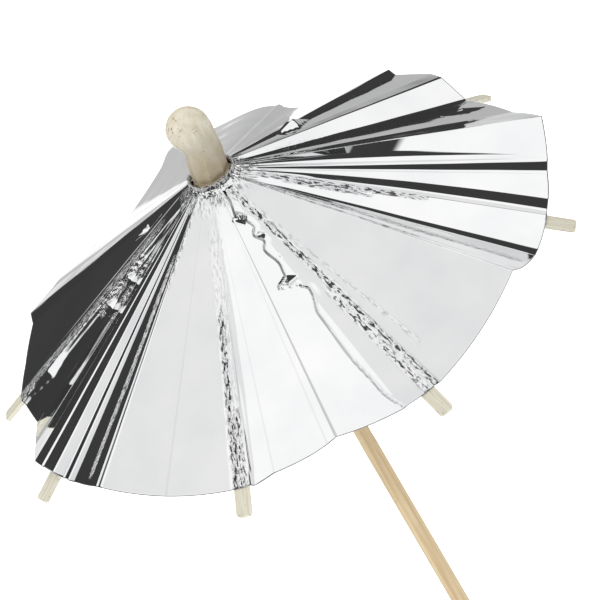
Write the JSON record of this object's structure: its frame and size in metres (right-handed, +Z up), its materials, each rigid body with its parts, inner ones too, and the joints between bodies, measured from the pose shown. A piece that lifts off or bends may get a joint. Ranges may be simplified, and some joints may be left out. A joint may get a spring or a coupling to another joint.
{
  "type": "drink parasol",
  "caption": "Small folding parasol with a pleated foil canopy on flat bamboo ribs, a turned knob and a thin pointed pick.",
  "frame": {"origin": "on the pick's axis at the shoulder where its point starts to taper", "axes": "+Z up the pick towards the knob, +X and +Y across the open canopy"},
  "size_m": [0.0867, 0.0892, 0.1085],
  "materials": {
    "pick_wood": "plain turned birch, unsealed",
    "knob_wood": "pale turned wood, smooth",
    "runner_wood": "turned wood with cut slots",
    "bamboo": "split bamboo strip",
    "thread": "twisted cotton thread",
    "foil": "paper faced with mirror-bright silver foil",
    "sleeve_paper": "rolled plain paper"
  },
  "bodies": {
    "root": {"stick": "pick_wood", "top_hub": "knob_wood", "hub_thread": "thread", "foil_collar": "foil", "canopy": "foil"},
    "runner": {"runner": "runner_wood", "runner_thread": "thread"},
    "sleeve": {"stop_sleeve": "sleeve_paper"},
    "rib_1": {"rib_1": "bamboo", "rib_thread_1": "thread"},
    "stretcher_1": {"stretcher_1": "bamboo"},
    "rib_2": {"rib_2": "bamboo", "rib_thread_2": "thread"},
    "stretcher_2": {"stretcher_2": "bamboo"},
    "rib_3": {"rib_3": "bamboo", "rib_thread_3": "thread"},
    "stretcher_3": {"stretcher_3": "bamboo"},
    "rib_4": {"rib_4": "bamboo", "rib_thread_4": "thread"},
    "stretcher_4": {"stretcher_4": "bamboo"},
    "rib_5": {"rib_5": "bamboo", "rib_thread_5": "thread"},
    "stretcher_5": {"stretcher_5": "bamboo"},
    "rib_6": {"rib_6": "bamboo", "rib_thread_6": "thread"},
    "stretcher_6": {"stretcher_6": "bamboo"},
    "rib_7": {"rib_7": "bamboo", "rib_thread_7": "thread"},
    "stretcher_7": {"stretcher_7": "bamboo"},
    "rib_8": {"rib_8": "bamboo", "rib_thread_8": "thread"},
    "stretcher_8": {"stretcher_8": "bamboo"}
  },
  "joints": [
    {"name": "runner_slide", "type": "slide", "parent": "root", "child": "runner", "axis": [0, 0, -1], "range_m": [0, 0.02131], "deforming": ["runner_thread"]},
    {"name": "sleeve_slide", "type": "slide", "parent": "runner", "child": "sleeve", "axis": [0, 0, -1], "range_m": [0, 0.03]},
    {"name": "rib_1_fold", "type": "hinge", "parent": "root", "child": "rib_1", "pos_m": [0.00204, 0.00106, 0.089], "axis": [-0.4617, 0.887, 0], "range_deg": [0, 48.45], "deforming": ["canopy"]},
    {"name": "stretcher_1_fold", "type": "hinge", "parent": "rib_1", "child": "stretcher_1", "pos_m": [0.01901, 0.00989, 0.07813], "axis": [-0.4617, 0.887, 0], "range_deg": [-96.9, 0]},
    {"name": "rib_2_fold", "type": "hinge", "parent": "root", "child": "rib_2", "pos_m": [0.00067, 0.0022, 0.089], "axis": [-0.9563, 0.2924, 0], "range_deg": [0, 48.45]},
    {"name": "stretcher_2_fold", "type": "hinge", "parent": "rib_2", "child": "stretcher_2", "pos_m": [0.00627, 0.02049, 0.07813], "axis": [-0.9563, 0.2924, 0], "range_deg": [-96.9, 0]},
    {"name": "rib_3_fold", "type": "hinge", "parent": "root", "child": "rib_3", "pos_m": [-0.00108, 0.00203, 0.089], "axis": [-0.8829, -0.4695, 0], "range_deg": [0, 48.45]},
    {"name": "stretcher_3_fold", "type": "hinge", "parent": "rib_3", "child": "stretcher_3", "pos_m": [-0.01006, 0.01892, 0.07813], "axis": [-0.8829, -0.4695, 0], "range_deg": [-96.9, 0]},
    {"name": "rib_4_fold", "type": "hinge", "parent": "root", "child": "rib_4", "pos_m": [-0.00221, 0.00065, 0.089], "axis": [-0.284, -0.9588, 0], "range_deg": [0, 48.45]},
    {"name": "stretcher_4_fold", "type": "hinge", "parent": "rib_4", "child": "stretcher_4", "pos_m": [-0.02055, 0.00609, 0.07813], "axis": [-0.284, -0.9588, 0], "range_deg": [-96.9, 0]},
    {"name": "rib_5_fold", "type": "hinge", "parent": "root", "child": "rib_5", "pos_m": [-0.00218, -0.00073, 0.089], "axis": [0.3173, -0.9483, 0], "range_deg": [0, 48.45]},
    {"name": "stretcher_5_fold", "type": "hinge", "parent": "rib_5", "child": "stretcher_5", "pos_m": [-0.02032, -0.0068, 0.07813], "axis": [0.3173, -0.9483, 0], "range_deg": [-96.9, 0]},
    {"name": "rib_6_fold", "type": "hinge", "parent": "root", "child": "rib_6", "pos_m": [-0.00103, -0.00206, 0.089], "axis": [0.8949, -0.4462, 0], "range_deg": [0, 48.45]},
    {"name": "stretcher_6_fold", "type": "hinge", "parent": "rib_6", "child": "stretcher_6", "pos_m": [-0.00956, -0.01918, 0.07813], "axis": [0.8949, -0.4462, 0], "range_deg": [-96.9, 0]},
    {"name": "rib_7_fold", "type": "hinge", "parent": "root", "child": "rib_7", "pos_m": [0.0006, -0.00222, 0.089], "axis": [0.9659, 0.2588, 0], "range_deg": [0, 48.45]},
    {"name": "stretcher_7_fold", "type": "hinge", "parent": "rib_7", "child": "stretcher_7", "pos_m": [0.00555, -0.0207, 0.07813], "axis": [0.9659, 0.2588, 0], "range_deg": [-96.9, 0]},
    {"name": "rib_8_fold", "type": "hinge", "parent": "root", "child": "rib_8", "pos_m": [0.00208, -0.00097, 0.089], "axis": [0.4226, 0.9063, 0], "range_deg": [0, 48.45]},
    {"name": "stretcher_8_fold", "type": "hinge", "parent": "rib_8", "child": "stretcher_8", "pos_m": [0.01942, -0.00906, 0.07813], "axis": [0.4226, 0.9063, 0], "range_deg": [-96.9, 0]}
  ],
  "couplings": [
    {"joint": "rib_1_fold", "follows": "runner_slide", "rad_per_m": 39.65},
    {"joint": "stretcher_1_fold", "follows": "runner_slide", "rad_per_m": -79.3},
    {"joint": "rib_2_fold", "follows": "runner_slide", "rad_per_m": 39.65},
    {"joint": "stretcher_2_fold", "follows": "runner_slide", "rad_per_m": -79.3},
    {"joint": "rib_3_fold", "follows": "runner_slide", "rad_per_m": 39.65},
    {"joint": "stretcher_3_fold", "follows": "runner_slide", "rad_per_m": -79.3},
    {"joint": "rib_4_fold", "follows": "runner_slide", "rad_per_m": 39.65},
    {"joint": "stretcher_4_fold", "follows": "runner_slide", "rad_per_m": -79.3},
    {"joint": "rib_5_fold", "follows": "runner_slide", "rad_per_m": 39.65},
    {"joint": "stretcher_5_fold", "follows": "runner_slide", "rad_per_m": -79.3},
    {"joint": "rib_6_fold", "follows": "runner_slide", "rad_per_m": 39.65},
    {"joint": "stretcher_6_fold", "follows": "runner_slide", "rad_per_m": -79.3},
    {"joint": "rib_7_fold", "follows": "runner_slide", "rad_per_m": 39.65},
    {"joint": "stretcher_7_fold", "follows": "runner_slide", "rad_per_m": -79.3},
    {"joint": "rib_8_fold", "follows": "runner_slide", "rad_per_m": 39.65},
    {"joint": "stretcher_8_fold", "follows": "runner_slide", "rad_per_m": -79.3}
  ]
}
